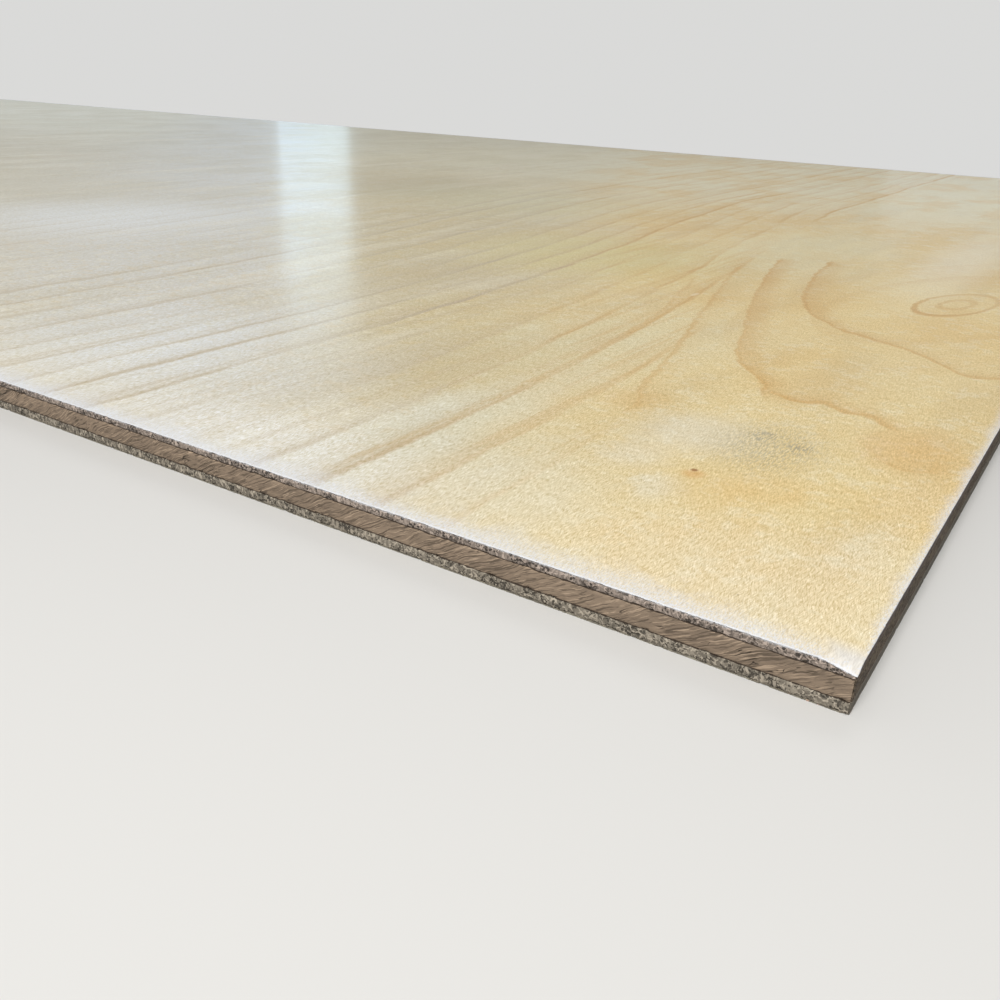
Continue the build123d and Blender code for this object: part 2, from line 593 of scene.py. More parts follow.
def spot(tree, place, centre, half_sizes, soft=0.5, share=1.0):
    """A soft oval mask, share inside and 0 outside, and the distance from its centre in half sizes."""
    (centre_x, centre_y), (half_x, half_y) = centre, half_sizes
    offset = tree.vector_math("MULTIPLY_ADD", place, (1.0 / half_x, 1.0 / half_y, 0.0),
                              (-centre_x / half_x, -centre_y / half_y, 0.0))
    reach = tree.vector_math("LENGTH", offset)
    return tree.rise(reach, 1.0 - soft, 1.0 + soft, share, 0.0), reach


def face_material(groups):
    """Birch face with its growth figure, clouds, marks, whitened arris, painted sheen, a painted dark
    reflection and clear satin coat.
    """
    colours = bpy.context.scene.plywood_colours
    material, tree, shader, here = new_material("Face veneer")
    place = in_millimetres(tree, here)
    x, y, _ = tree.axes(place)

    # Slow wander of the fibres, then the fan of the rings towards the far side
    slow = tree.less(tree.drawn(place, (0.011, 0.0028, 1.0)), 0.5)
    quick = tree.less(tree.drawn(place, (0.07, 0.030, 1.0), 3.0, 0.6), 0.5)
    wander = tree.add(tree.times(slow, SLOW_WANDER), tree.times(quick, QUICK_WANDER))
    speckle = tree.noise(place, 0.16, 3.0, 0.65)
    small_wander = tree.times(tree.less(speckle, 0.5), 7.0)
    fan = tree.rise(y, -520.0, 120.0, 0.0, RING_FAN)
    ring = tree.over(tree.add(x, fan, wander), RING_PITCH)
    ring = tree.add(ring, tree.rise(x, -400.0, 900.0, 6.0, 0.62))
    within = tree.math("FRACT", ring)
    strength = tree.rise(tree.white(tree.math("FLOOR", ring)), 0.0, 0.9, 0.35, 1.0)
    late = tree.add(tree.rise(within, 0.10, 0.82, 0.0, 0.45), tree.rise(within, 0.76, 0.88, 0.0, 0.75))
    late = tree.times(late, tree.fall(within, 0.90, 1.0))
    hair = tree.drawn(place, (0.22, 0.006, 1.0), 3.0, 0.6, flat=True)
    patchy = tree.rise(tree.drawn(place, (0.05, 0.010, 1.0), 3.0), 0.34, 0.62, 0.40, 1.0)
    rings = tree.add(tree.times(late, strength, patchy), tree.rise(hair, 0.52, 0.68, 0.0, 0.30))

    # Slow patterns that the colours share
    broad = tree.drawn(place, (0.008, 0.0035, 1.0), 4.0, 0.55)
    clouds = tree.drawn(place, (0.022, 0.013, 1.0), 4.0, 0.6)
    streaks = tree.drawn(place, (0.038, 0.0085, 1.0), 3.0, 0.55)

    # Named lines, and the ovals nested round the eye, which lie to the right of one of the lines
    line_masks = []
    middles = []
    wandered = {"y": tree.add(x, small_wander), "x": tree.add(y, small_wander)}
    for line in GROWTH_LINES:
        mask, middle = growth_line(tree, x, y, wandered[line["along"]], line)
        line_masks.append(mask)
        middles.append(middle)
    named = tree.times(tree.highest(*line_masks), tree.rise(clouds, 0.38, 0.60, 0.75, 1.15))
    right_of = tree.rise(tree.less(x, middles[OVALS_FROM_LINE]), -4.0, 10.0)
    from_eye = tree.vector_math("SUBTRACT", place, (EYE["x"], EYE["y"], 0.0))
    eye_x, eye_y, _ = tree.axes(tree.turned(from_eye, EYE["turn"], "Z"))
    eye_place = tree.vector(tree.add(eye_x, tree.times(small_wander, 0.5)), eye_y)
    eye_mask, eye_reach = spot(tree, eye_place, (0.0, 0.0), (EYE["half_x"], EYE["half_y"]), 0.12)
    rim = tree.band(eye_reach, 1.0, 0.03, 0.13)
    pupil = tree.band(eye_reach, 0.42, 0.03, 0.16)
    darker_below = tree.rise(eye_y, -38.0, 20.0, 1.15, 0.65)
    eye = tree.highest(tree.times(rim, darker_below), tree.times(pupil, 0.6), tree.times(eye_mask, 0.12))
    oval = tree.math("FRACT", tree.times(eye_reach, 0.62))
    ovals = tree.times(tree.rise(oval, 0.55, 0.95), tree.fall(oval, 0.95, 1.0),
                       tree.rise(eye_reach, 1.3, 2.0), tree.rise(eye_reach, 2.5, 7.0, 0.24, 0.0))
    figure = tree.highest(tree.times(rings, tree.less(1.0, right_of)), tree.times(ovals, right_of), eye)

    # Ground colour: warmer wood to the right, duller in the middle, paler and greyer towards the far side as
    # painted sheen, a pale diagonal band of painted sheen, and paler along the front
    drift = tree.less(clouds, 0.5)
    sum_xy = tree.add(x, y, tree.times(drift, 150.0))
    painted_sheen = tree.times(tree.fall(sum_xy, 425.0, 560.0), tree.rise(sum_xy, 80.0, 380.0, 0.25, 1.0))
    across = tree.add(x, tree.times(tree.add(y, 500.0), 0.48), tree.times(drift, 90.0))
    right = tree.rise(across, 1015.0, 1135.0)
    left = tree.less(1.0, right)
    warm = tree.add(tree.times(right, 0.55), tree.rise(broad, 0.36, 0.66, 0.1, 0.45))
    cloud_tint = tree.mix(right, (0.61, 0.55, 0.38), (0.74, 0.50, 0.18))
    front = tree.rise(tree.add(y, tree.times(drift, 50.0)), 8.0 - HALF_WIDTH, 60.0 - HALF_WIDTH, 0.42, 0.0)
    ground = tree.layers(tree.mix(warm, tuple(colours.face_pale), tuple(colours.face_warm)), (
        (tree.times(left, tree.rise(y, -150.0, 450.0, 0.42, 0.0)), (0.57, 0.50, 0.30)),
        (tree.rise(streaks, 0.48, 0.66, 0.0, 0.34), (0.60, 0.45, 0.21)),
        # Painted sheen: paler and greyer towards the far side
        (tree.rise(y, -150.0, 250.0, 0.0, 0.62), (0.78, 0.78, 0.60)),
        # Painted sheen: a pale grey diagonal band
        (tree.times(painted_sheen, 0.9), (0.675, 0.67, 0.635)),
        (tree.times(tree.rise(clouds, 0.44, 0.62), tree.add(tree.times(right, 0.14), 0.28)), cloud_tint),
        (tree.times(tree.rise(streaks, 0.34, 0.48, 0.4, 0.0), left), (0.78, 0.72, 0.56)),
        (tree.rise(speckle, 0.51, 0.66, 0.0, 0.30), (0.86, 0.79, 0.58)),
        (tree.rise(speckle, 0.34, 0.48, 0.24, 0.0), (0.73, 0.54, 0.23)),
        (front, (0.82, 0.75, 0.57))))
    ragged = tree.vector(tree.add(x, tree.times(small_wander, 2.0)), y)
    for patch_x, patch_y, half_x, half_y, share, tint in FACE_PATCHES:
        patch, _ = spot(tree, ragged, (patch_x, patch_y), (half_x, half_y), 0.75, share)
        ground = tree.mix(patch, ground, tint)
    figure = tree.times(figure, tree.rise(x, 560.0, 1060.0, 0.18, 0.85))
    face_line = tuple(colours.face_line)
    ground = tree.layers(ground, (
        (figure, tree.mix(right, (0.52, 0.43, 0.29), face_line)),
        (named, tree.mix(right, (0.55, 0.43, 0.24), face_line))))

    # Short fibre flecks that lean both ways, two lighter and two darker than the ground
    swerved = tree.bent(place, 0.10, 1.6, flat=True)
    for lean, length, width, low, tint in (
            (0.24, 2.4, 0.27, 0.51, (1.13, 1.15, 1.24)), (-0.26, 2.8, 0.26, 0.53, (1.13, 1.15, 1.24)),
            (0.05, 2.6, 0.30, 0.51, (0.86, 0.83, 0.74)), (-0.32, 2.0, 0.27, 0.53, (0.86, 0.83, 0.74))):
        fleck = tree.group(groups["fleck"], {"Vector": tree.turned(swerved, lean, "Z"), "Length": length,
                                             "Width": width, "Low": low, "High": low + 0.12})
        ground = tree.mix(fleck["Mask"], ground, tint, "MULTIPLY")

    # Halo, stain and heart of the pin knot, the chalky ground of the scuff, and the pale peck
    for centre, half_sizes, soft, share, tint in (
            ((1168.0, -551.0), (9.0, 10.0), 0.8, 0.15, (0.72, 0.42, 0.10)),
            ((1161.0, -543.8), (2.6, 2.8), 0.7, 0.55, (0.66, 0.34, 0.07)),
            ((1160.2, -541.3), (0.9, 0.9), 0.4, 0.85, (0.30, 0.13, 0.03)),
            ((1146.0, -519.0), (12.0, 18.0), 0.8, 0.12, (0.80, 0.78, 0.70)),
            ((1070.5, -331.0), (1.3, 4.0), 0.5, 0.45, (0.92, 0.82, 0.58))):
        mark, _ = spot(tree, place, centre, half_sizes, soft, share)
        ground = tree.mix(mark, ground, tint)

    # The grey scuff with its two darker cores, and tiny dark specks
    scuff_lines = tree.drawn(place, (2.2, 0.34, 1.0), 2.0, 0.7, flat=True)
    scuff, _ = spot(tree, place, (1170.0, -512.0), (13.0, 19.0), 0.7, 0.62)
    first_core, _ = spot(tree, place, (1165.5, -504.5), (4.5, 6.5), 0.8)
    second_core, _ = spot(tree, place, (1177.0, -508.0), (4.5, 6.0), 0.8)
    scuffed = tree.highest(scuff, first_core, second_core)
    grit_cell = tree.cells(tree.scaled(place, (0.11, 0.11, 0.0)))
    grit = tree.times(tree.rise(grit_cell, 0.022, 0.045, 0.75, 0.0), tree.rise(clouds, 0.46, 0.60))
    ground = tree.layers(ground, (
        (tree.times(scuffed, tree.rise(scuff_lines, 0.43, 0.58, 0.05, 0.72)), (0.30, 0.28, 0.22)),
        (grit, (0.16, 0.11, 0.07))))

    # Whitened arris, and past it a bluish haze that is partly wear and partly painted sheen
    wear = tree.group(groups["edge"], {"Vector": place, "Band": 14.0, "Line": 0.8})
    ground = tree.layers(ground, (
        (tree.times(wear["Haze"], 0.9), (0.76, 0.81, 0.92)), (wear["Line"], tuple(colours.worn_edge))))
    tree.feed(shader.inputs["Base Color"], ground)

    # Satin coat, thinner where the arris is worn, over slightly wavy veneer
    worn = tree.highest(wear["Haze"], scuff)
    rough = tree.rise(clouds, 0.3, 0.7, 0.40, 0.52)
    tree.feed(shader.inputs["Coat Weight"], tree.rise(worn, 0.0, 1.0, 0.33, 0.04))
    tree.feed(shader.inputs["Roughness"], tree.highest(rough, tree.times(worn, 0.8)))
    shader.inputs["Coat Roughness"].default_value = 0.20
    shader.inputs["Specular IOR Level"].default_value = 0.03
    shader.inputs["Coat IOR"].default_value = 1.45
    set_bump(tree, shader, tree.drawn(place, (0.014, 0.009, 0.0), 2.0, 0.6), 0.16)
    return material


def back_material(groups):
    """Plain back veneer: straight rings, a few pin knots, streaks and no coat."""
    colours = bpy.context.scene.plywood_colours
    wood = tuple(colours.back_wood)
    material, tree, shader, here = new_material("Back veneer")
    place = in_millimetres(tree, here)
    slow = tree.less(tree.drawn(place, (0.006, 0.0016, 1.0), 3.0), 0.5)
    ring = tree.over(tree.add(tree.axes(place)[0], tree.times(slow, BACK_WANDER)), BACK_RING_PITCH)
    within = tree.math("FRACT", ring)
    late = tree.times(tree.rise(within, 0.45, 0.92), tree.fall(within, 0.92, 1.0))
    strength = tree.white(tree.math("FLOOR", ring))
    tone = tree.drawn(place, (0.012, 0.003, 1.0), 4.0, 0.6)
    flecks = tree.group(groups["fleck"], {"Vector": place, "Length": 8.0, "Width": 0.7, "Low": 0.5,
                                          "High": 0.72})
    knot_cell = tree.cells(tree.scaled(place, (0.0042, 0.0030, 0.0)))
    wear = tree.group(groups["edge"], {"Vector": place, "Band": 6.0, "Line": 0.6})
    ground = tree.mix(tree.rise(tone, 0.3, 0.7), shade(wood, 0.86), shade(wood, 1.12))
    ground = tree.layers(ground, (
        (tree.times(late, strength, 0.45), shade(wood, 0.55)),
        (tree.times(flecks["Mask"], 0.3), shade(wood, 0.68)),
        (tree.rise(knot_cell, 0.02, 0.06, 0.6, 0.0), (0.36, 0.20, 0.09)),
        (tree.rise(knot_cell, 0.010, 0.022, 0.85, 0.0), (0.09, 0.045, 0.02)),
        (tree.times(wear["Haze"], 0.4), (0.80, 0.74, 0.62))))
    tree.feed(shader.inputs["Base Color"], ground)
    tree.feed(shader.inputs["Roughness"], tree.rise(tone, 0.2, 0.8, 0.6, 0.78))
    shader.inputs["Specular IOR Level"].default_value = 0.35
    set_bump(tree, shader, tree.drawn(place, (1.6, 0.15, 0.0), 3.0, flat=True), 0.05)
    return material


def veneer_side_material(name, pale, wood):
    """The thin sawn side of a veneer, with nicks that show darker wood: whitened on the face, and on the back
    darkened as painted shade.
    """
    material, tree, shader, here = new_material(name)
    place = in_millimetres(tree, here)
    mottle = tree.noise(place, 0.9, 3.0, 0.65)
    teeth = tree.drawn(place, (1.1, 1.1, 0.5), 2.0, 0.6)
    runs = tree.drawn(place, (0.12, 0.12, 0.0))
    nicks = tree.times(tree.rise(teeth, 0.50, 0.58), tree.rise(runs, 0.36, 0.60, 0.35, 1.0))
    corner, _ = spot(tree, place, (HALF_LENGTH, -HALF_WIDTH), (11.0, 7.0), 0.4)
    pink = tree.rise(tree.noise(place, 0.5, 2.0), 0.54, 0.64, 0.0, 0.6)
    colour = tree.mix(tree.rise(mottle, 0.38, 0.62), shade(pale, 0.95), shade(pale, 0.62))
    colour = tree.layers(colour, (
        (tree.times(nicks, 0.8), shade(wood, 0.6)), (tree.times(pink, corner), (0.62, 0.34, 0.25))))
    tree.feed(shader.inputs["Base Color"], colour)
    tree.feed(shader.inputs["Roughness"], tree.rise(mottle, 0.3, 0.7, 0.6, 0.85))
    set_bump(tree, shader, tree.less(mottle, nicks), 0.10)
    return material


# Shapes. Every layer starts as its outline in edges, which is drawn up into a wall and then capped.

def outline(bm, settings, z):
    """The sheet's outline as a closed run of edges, finely divided round the near corner."""
    fine_x = HALF_LENGTH - settings.fine_front
    fine_y = settings.fine_right - HALF_WIDTH
    fine = settings.fine_column
    coarse = settings.coarse_column
    corners = [
        (-HALF_LENGTH, -HALF_WIDTH, coarse), (fine_x, -HALF_WIDTH, fine),
        (HALF_LENGTH, -HALF_WIDTH, fine * 1.2), (HALF_LENGTH, fine_y, coarse),
        (HALF_LENGTH, HALF_WIDTH, coarse), (-HALF_LENGTH, HALF_WIDTH, coarse),
    ]
    for index, (x, y, spacing) in enumerate(corners):
        next_x, next_y, _ = corners[(index + 1) % len(corners)]
        start = bm.verts.new((x, y, z))
        end = bm.verts.new((next_x, next_y, z))
        edge = bm.edges.new((start, end))
        cuts = round(edge.calc_length() / spacing) - 1
        bmesh.ops.subdivide_edges(bm, edges=[edge], cuts=cuts)
    bmesh.ops.remove_doubles(bm, verts=bm.verts, dist=SAME)
    return list(bm.edges)


def draw_up(bm, edges, heights):
    """Extrudes the outline through the heights and gives its edges at the last one."""
    for low, high in zip(heights, heights[1:]):
        made = bmesh.ops.extrude_edge_only(bm, edges=edges)["geom"]
        verts = [item for item in made if isinstance(item, bmesh.types.BMVert)]
        bmesh.ops.translate(bm, verts=verts, vec=(0.0, 0.0, high - low))
        rows = set(verts)
        edges = [item for item in made if isinstance(item, bmesh.types.BMEdge)
                 and item.verts[0] in rows and item.verts[1] in rows]
    return edges


def pull_in(bm, edges, z, inset, step=0.0):
    """Draws edges at height z one ring further over the cap, to a distance in from the sides.

    A step thins the ring out: its points gather at whole steps along the sides."""
    made = bmesh.ops.extrude_edge_only(bm, edges=edges)["geom"]
    verts = [item for item in made if isinstance(item, bmesh.types.BMVert)]
    for vert in verts:
        for axis, half in ((0, HALF_LENGTH), (1, HALF_WIDTH)):
            value = vert.co[axis]
            if step and abs(value) < half - inset:
                value = round(value / step) * step
            vert.co[axis] = math.copysign(min(abs(value), half - inset), vert.co[axis])
    bmesh.ops.remove_doubles(bm, verts=verts, dist=SAME)
    return [edge for edge in bm.edges
            if edge.is_boundary and all(abs(vert.co.z - z) < SAME for vert in edge.verts)]


# Two thinned rings of every cap: how far past its fine rings each lies, and the step of its points
THINNED_RINGS = ((4.0, 8.0), (24.0, 60.0))


def close_flat(bm, edges, z, widths):
    """Closes a wall's edges at height z: fine rings near the sides, two thinned ones, then one flat face."""
    inset = 0.0
    for width in widths:
        inset += width
        edges = pull_in(bm, edges, z, inset)
    for further, step in THINNED_RINGS:
        edges = pull_in(bm, edges, z, inset + further, step)
    bmesh.ops.contextual_create(bm, geom=edges)


def rows_between(low, high, pitch, lip):
    """Heights from low to high: a thin row at each glue line and even rows of about pitch between."""
    count = max(1, round((high - low - 2 * lip) / pitch))
    inner = [low + lip + (high - low - 2 * lip) * step / count for step in range(count + 1)]
    return [low] + inner + [high]


def wave(seed, *place):
    """Smooth noise from -1 to 1 at a place given in wavelengths. Each seed gives a pattern of its own."""
    where = Vector((place + (0.0, 0.0))[:3])
    return noise.noise(where + Vector((seed * 17.3, seed * 5.1, seed * 3.7)))


def clamp(value):
    return max(0.0, min(1.0, value))


def smooth(value, low, high):
    share = clamp((value - low) / (high - low))
    return share * share * (3.0 - 2.0 * share)


# Wear in millimetres: the reach of the lost corner along the front and the right and in from both, the
# radius of the four upright corners, and the most that the arris is rounded down
CORNER_FRONT = 6.8
CORNER_RIGHT = 4.0
CORNER_RIM = 1.7
UPRIGHT_RADIUS = 0.8
ARRIS_LIMIT = 0.25

# Saw marks in millimetres: slow sway of a side, half width of a glue line's groove, and the share of
# the relief that the short sides have
SWAY = 0.03
GROOVE = 0.30
SHORT_SIDE_SHARE = 0.5


def corner_loss(settings, along_front, along_right):
    """How far the face is knocked down at the near corner, by the distances from it along two sides."""
    front = 1.0 - smooth(along_front, 0.0, CORNER_FRONT)
    right = 1.0 - smooth(along_right, 0.0, CORNER_RIGHT)
    rim = 1.0 - smooth(along_front, 0.0, CORNER_RIM) * smooth(along_right, 0.0, CORNER_RIM)
    return settings.corner_drop * front * right * rim


def side_push(settings, kind, seed, along, z, low, high):
    """How far the saw and wear have taken the side of one layer in, in millimetres.

    Places are divided by the wavelengths of the relief, which end grain has short and long grain long."""
    depth = settings.roughness_end if kind == "end" else settings.roughness_long
    sway = SWAY * (1.0 + wave(1, along / 70.0))
    if kind == "end":
        grain = abs(wave(seed, along / 0.9, z / 1.4)) + 0.6 * abs(wave(seed + 3, along / 2.6, z / 2.2))
    else:
        grain = abs(wave(seed, along / 6.0, z / 0.6)) + 0.5 * abs(wave(seed + 3, along / 2.4, z / 1.1))
    from_joint = min(z - low, high - z)
    groove = 1.0 - smooth(from_joint, 0.0, GROOVE)
    level = low if z - low < high - z else high
    open_joint = smooth(wave(round(level * 10), along / 3.0), 0.18, 0.5)
    joint = groove * settings.joint_depth * (0.6 + 2.6 * open_joint)
    return sway + depth * grain + joint


def roughen(bm, settings, layer, low, high):
    """Moves the walls in by the relief of the saw, and the caps down where the face is worn."""
    for vert in bm.verts:
        x, y, z = vert.co
        from_short = HALF_LENGTH - abs(x)
        from_long = HALF_WIDTH - abs(y)
        inset = min(from_short, from_long)
        if inset < SAME:
            on_long = from_long < SAME
            on_short = from_short < SAME
            if on_long:
                push = side_push(settings, layer["long_side"], layer["seed"], x, z, low, high)
                vert.co.y -= math.copysign(push, y)
            if on_short:
                push = side_push(settings, layer["short_side"], layer["seed"] + 7, y, z, low, high)
                vert.co.x -= math.copysign(SHORT_SIDE_SHARE * push, x)
            other = from_short if on_long else from_long
            if other < UPRIGHT_RADIUS:
                bulge = math.sqrt(max(0.0, UPRIGHT_RADIUS ** 2 - (UPRIGHT_RADIUS - other) ** 2))
                round_off = UPRIGHT_RADIUS - bulge
                if on_long:
                    vert.co.y -= math.copysign(round_off * 0.5, y)
                if on_short:
                    vert.co.x -= math.copysign(round_off * 0.5, x)
        loss = corner_loss(settings, HALF_LENGTH - x, HALF_WIDTH + y)
        if layer["worn"] == "whole":
            vert.co.z -= loss
        elif layer["worn"] == "towards top" and z > low + 0.01:
            vert.co.z -= loss * clamp((z - low) / (high - low))
        if layer["worn"] == "whole" and z > high - SAME:
            ragged = 1.0 + 0.8 * wave(9, (x if from_long < from_short else y) / 1.3)
            radius = settings.arris_radius * ragged
            if inset < radius:
                fall = radius - math.sqrt(max(0.0, radius ** 2 - (radius - inset) ** 2))
                vert.co.z -= min(fall, ARRIS_LIMIT)


# Widths of the rings that let the top of a worn layer bend near its arris
TOP_RINGS = [0.10, 0.14, 0.22, 0.5, 0.8, 1.3, 2.2, 3.6]

# Where each pair of sides shows end or long grain, how the near corner's wear bends a layer, the rings
# of its top, and the height of its rows and of the thin row at each glue line, in millimetres
LAYERS = {
    "back_veneer": {"seed": 1, "long_side": "end", "short_side": "long", "worn": "not", "rings": [],
                    "pitch": 0.15, "lip": 0.05},
    "lower_ply": {"seed": 2, "long_side": "end", "short_side": "long", "worn": "not", "rings": [],
                  "pitch": 0.38, "lip": 0.14},
    "core_ply": {"seed": 3, "long_side": "long", "short_side": "end", "worn": "not", "rings": [],
                 "pitch": 0.46, "lip": 0.14},
    "upper_ply": {"seed": 4, "long_side": "end", "short_side": "long", "worn": "towards top",
                  "rings": TOP_RINGS[3:], "pitch": 0.30, "lip": 0.12},
    "face_veneer": {"seed": 5, "long_side": "end", "short_side": "long", "worn": "whole",
                    "rings": TOP_RINGS, "pitch": 0.12, "lip": 0.04},
}

# Faces that meet at more than this keep a sharp edge
SHARP_ANGLE = math.radians(62.0)


def joint_levels(name):
    """Heights of the glue lines that bound one layer, in millimetres."""
    return 1000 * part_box(name)[0].z, 1000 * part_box(name)[1].z


def build_layer(name, materials):
    """One layer in the place of its solid, with the materials of its caps, long and short sides."""
    settings = bpy.context.scene.plywood_sheet
    layer = LAYERS[name]
    low, high = joint_levels(name)
    bm = bmesh.new()
    rim = outline(bm, settings, low)
    top = draw_up(bm, rim, rows_between(low, high, layer["pitch"], layer["lip"]))
    close_flat(bm, top, high, layer["rings"])
    rim = [edge for edge in bm.edges if edge.is_boundary]
    close_flat(bm, rim, low, [])
    bmesh.ops.recalc_face_normals(bm, faces=bm.faces)
    bm.normal_update()
    for face in bm.faces:
        face.smooth = True
        if abs(face.normal.z) > 0.5:
            face.material_index = 0
        elif abs(face.normal.y) > 0.5:
            face.material_index = 1
        else:
            face.material_index = 2
    roughen(bm, settings, layer, low, high)
    bmesh.ops.scale(bm, verts=bm.verts, vec=(MM, MM, MM))
    mesh = bpy.data.meshes.new(name + "_piece")
    bm.to_mesh(mesh)
    bm.free()
    for material in materials:
        mesh.materials.append(material)
    mesh.set_sharp_from_angle(angle=SHARP_ANGLE)
    piece = bpy.data.objects.new(name + "_piece", mesh)
    bpy.context.scene.collection.objects.link(piece)
    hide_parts(name)
    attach(piece, "root")


def shared_groups():
    """The shared node groups, made once."""
    makers = {"fleck": ("Fibre flecks", fleck_group), "edge": ("Edge wear and sheen", edge_group),
              "end": ("End grain", end_grain_group), "long": ("Long grain", long_grain_group),
              "glue": ("Glue line", glue_group), "saw": ("Saw marks", saw_group)}
    return {key: bpy.data.node_groups.get(name) or make() for key, (name, make) in makers.items()}


# Grain of the plies' sides: the inputs of its group, the shares of its marks in the colour, and the
# height in millimetres about which the white of the worn arris sets in
END_STYLES = {
    "lower_ply": {"grain": {"Pore": 0.8, "Net": 1.25, "Tick": 0.7, "Check": 1.5, "Lean": 0.2},
                  "pale": 0.85, "dots": 0.85, "cracks": 0.85},
    "core_ply": {"grain": {"Pore": 1.1, "Net": 1.2, "Tick": 0.9, "Check": 2.6, "Lean": 0.3},
                 "pale": 0.4, "dots": 0.6, "cracks": 0.7},
    "upper_ply": {"grain": {"Pore": 0.8, "Net": 1.2, "Tick": 0.6, "Check": 1.8, "Lean": 0.1},
                  "pale": 0.8, "dots": 1.0, "cracks": 0.6, "white_above": joint_levels("upper_ply")[1]},
}
LONG_STYLES = {
    "lower_ply": {"grain": {"Slant": 0.04, "Length": 16.0, "Width": 0.7, "Cracks": 0.3},
                  "pale": 0.4, "dark": 0.7},
    "core_ply": {"grain": {"Slant": 0.50, "Length": 6.0, "Width": 0.28, "Cracks": 0.9},
                 "pale": 0.95, "dark": 0.85},
    "upper_ply": {"grain": {"Slant": 0.03, "Length": 18.0, "Width": 0.6, "Cracks": 0.3},
                  "pale": 0.35, "dark": 0.75},
}

# Woods of the short sides, darker than the long sides partly for their other grain and partly as painted
# shade, and of the back veneer's sides, darkened to a grey olive as painted shade along the bottom
CORE_SHORT_SIDE = (0.150, 0.117, 0.084)
UPPER_SHORT_SIDE = (0.125, 0.098, 0.084)
BACK_SIDE = (0.30, 0.275, 0.215)


def build_ply(name, woods, glue_levels):
    """One ply: end grain on one pair of sides, long grain on the other pair and on the caps.

    Woods and glue levels are given for the long and the short sides."""
    groups = shared_groups()
    label = name.replace("_", " ").capitalize()
    layer = LAYERS[name]
    end_side, long_side = ("long", "short") if layer["long_side"] == "end" else ("short", "long")
    end = end_grain_material(label + " end grain", groups, woods[end_side], glue_levels[end_side],
                             end_side, END_STYLES[name])
    long = long_grain_material(label + " long grain", groups, woods[long_side], glue_levels[long_side],
                               long_side, LONG_STYLES[name])
    grains = {"end": end, "long": long}
    build_layer(name, [long, grains[layer["long_side"]], grains[layer["short_side"]]])


class PLYWOOD_OT_back_veneer(bpy.types.Operator):
    """Builds the thin pale veneer under the sheet"""
    bl_idname = "plywood.back_veneer"
    bl_label = "Back Veneer"

    def execute(self, context):
        colours = context.scene.plywood_colours
        # The back veneer's sides take a darkened grey olive that is painted shade along the bottom
        side = veneer_side_material("Back veneer side", BACK_SIDE, tuple(colours.lower_wood))
        build_layer("back_veneer", [back_material(shared_groups()), side, side])
        return {"FINISHED"}


class PLYWOOD_OT_lower_ply(bpy.types.Operator):
    """Builds the grey ply under the core, with its lathe checks"""
    bl_idname = "plywood.lower_ply"
    bl_label = "Lower Ply"

    def execute(self, context):
        wood = tuple(context.scene.plywood_colours.lower_wood)
        low, high = joint_levels("lower_ply")
        # The short sides' wood is darker, partly for its other grain and partly as painted shade
        build_ply("lower_ply", {"long": wood, "short": shade(wood, 0.60)},
                  {"long": [(high, 0.22), (low, 0.12)], "short": [(high, 0.2), (low, 0.12)]})
        return {"FINISHED"}


class PLYWOOD_OT_core_ply(bpy.types.Operator):
    """Builds the thick brown middle ply"""
    bl_idname = "plywood.core_ply"
    bl_label = "Core Ply"

    def execute(self, context):
        wood = tuple(context.scene.plywood_colours.core_wood)
        low, high = joint_levels("core_ply")
        glue_levels = [(high, 0.17), (low, 0.2)]
        build_ply("core_ply", {"long": wood, "short": CORE_SHORT_SIDE},
                  {"long": glue_levels, "short": glue_levels})
        return {"FINISHED"}


class PLYWOOD_OT_upper_ply(bpy.types.Operator):
    """Builds the thinner ply over the core, worn down at the near corner"""
    bl_idname = "plywood.upper_ply"
    bl_label = "Upper Ply"

    def execute(self, context):
        wood = tuple(context.scene.plywood_colours.upper_wood)
        glue_levels = [(joint_levels("upper_ply")[0], 0.16)]
        build_ply("upper_ply", {"long": wood, "short": UPPER_SHORT_SIDE},
                  {"long": glue_levels, "short": glue_levels})
        return {"FINISHED"}


class PLYWOOD_OT_face_veneer(bpy.types.Operator):
    """Builds the birch face with its figure and satin coat"""
    bl_idname = "plywood.face_veneer"
    bl_label = "Face Veneer"

    def execute(self, context):
        colours = context.scene.plywood_colours
        side = veneer_side_material("Face veneer side", tuple(colours.worn_edge), tuple(colours.upper_wood))
        build_layer("face_veneer", [face_material(shared_groups()), side, side])
        return {"FINISHED"}


# Stage: pale floor, soft lamps and the camera

# Half the floor's size in metres. Then the colours of the floor and the world, first as soft light and
# then as they are seen
FLOOR_HALF = 30.0
FLOOR_LIGHT = (0.36, 0.355, 0.345)
FLOOR_SEEN = (0.72, 0.715, 0.70)
WORLD_LIGHT = (0.28, 0.283, 0.287)
BACKDROP = (0.70, 0.70, 0.69)

# The camera in metres, degrees and millimetres of lens, as fitted to the photograph
CAMERA_PLACE = (1.24193, -0.75958, 0.10023)
CAMERA_HEADING = 32.891
CAMERA_DOWN = 24.023
CAMERA_ROLL = 2.331
CAMERA_LENS = 34.087
SENSOR = 36.0
NEAR_CLIP = 0.01
FAR_CLIP = 100.0

